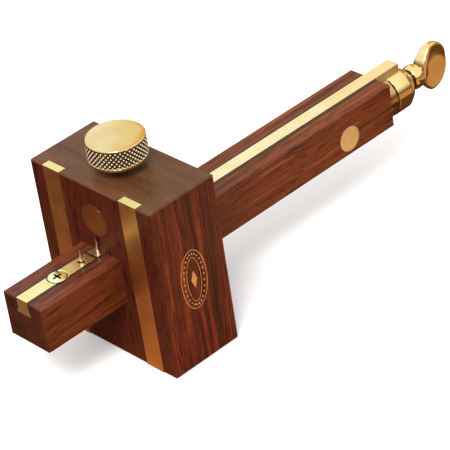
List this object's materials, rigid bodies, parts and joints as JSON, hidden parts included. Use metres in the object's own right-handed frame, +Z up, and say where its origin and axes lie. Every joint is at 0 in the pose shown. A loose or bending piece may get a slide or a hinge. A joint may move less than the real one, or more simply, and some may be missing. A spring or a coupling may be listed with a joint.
{
  "type": "marking gauge",
  "caption": "Rosewood mortise and marking gauge: a brass-faced head clamps on a square stem with a screw-driven brass slide, steel pins and a thumb turn.",
  "frame": {"origin": "centre of the head's underside, on the surface it rests on", "axes": "+Z up; the stem runs along Y, with its marking pins towards -Y and its thumb turn towards +Y; the fence is the head's -Y face"},
  "size_m": [0.0576, 0.2023, 0.077],
  "materials": {
    "rosewood_head": "polished",
    "rosewood_stem": "satin",
    "brass": "polished",
    "hardened_steel": "bright",
    "steel_rod": "satin"
  },
  "bodies": {
    "head": {"head_block": "rosewood_head", "left_wear_strip": "brass", "right_wear_strip": "brass", "clamp_nut": "brass"},
    "shoe": {"clamp_shoe": "brass"},
    "clamp_screw": {"clamp_stud": "steel_rod", "clamp_knob": "brass"},
    "stem": {"stem_beam": "rosewood_stem", "fixed_strip": "brass", "strip_screw": "brass", "fixed_pin": "hardened_steel", "marking_pin": "hardened_steel", "cross_nut": "brass", "stem_ferrule": "brass"},
    "slide": {"slide_bar": "brass", "slide_pin": "hardened_steel", "slide_lug": "brass"},
    "adjuster": {"lead_screw": "steel_rod", "thrust_collar": "brass", "collar_pin": "steel_rod", "thumb_turn": "brass"}
  },
  "joints": [
    {"name": "stem_slide", "type": "slide", "parent": "head", "child": "stem", "axis": [0, 1, 0], "range_m": [-0.1, 0]},
    {"name": "shoe_lift", "type": "slide", "parent": "head", "child": "shoe", "axis": [0, 0, 1], "range_m": [0, 0.0015]},
    {"name": "clamp_turn", "type": "hinge", "parent": "shoe", "child": "clamp_screw", "pos_m": [0, 0, 0.065], "axis": [0, 0, 1], "range_deg": [0, 540]},
    {"name": "pin_slide", "type": "slide", "parent": "stem", "child": "slide", "axis": [0, 1, 0], "range_m": [0, 0.01]},
    {"name": "adjuster_turn", "type": "hinge", "parent": "slide", "child": "adjuster", "pos_m": [0, 0.125, 0.0292], "axis": [0, 1, 0], "range_deg": [0, 4500]}
  ],
  "couplings": [
    {"joint": "clamp_turn", "follows": "shoe_lift", "rad_per_m": 6283.2},
    {"joint": "adjuster_turn", "follows": "pin_slide", "rad_per_m": 7854}
  ]
}
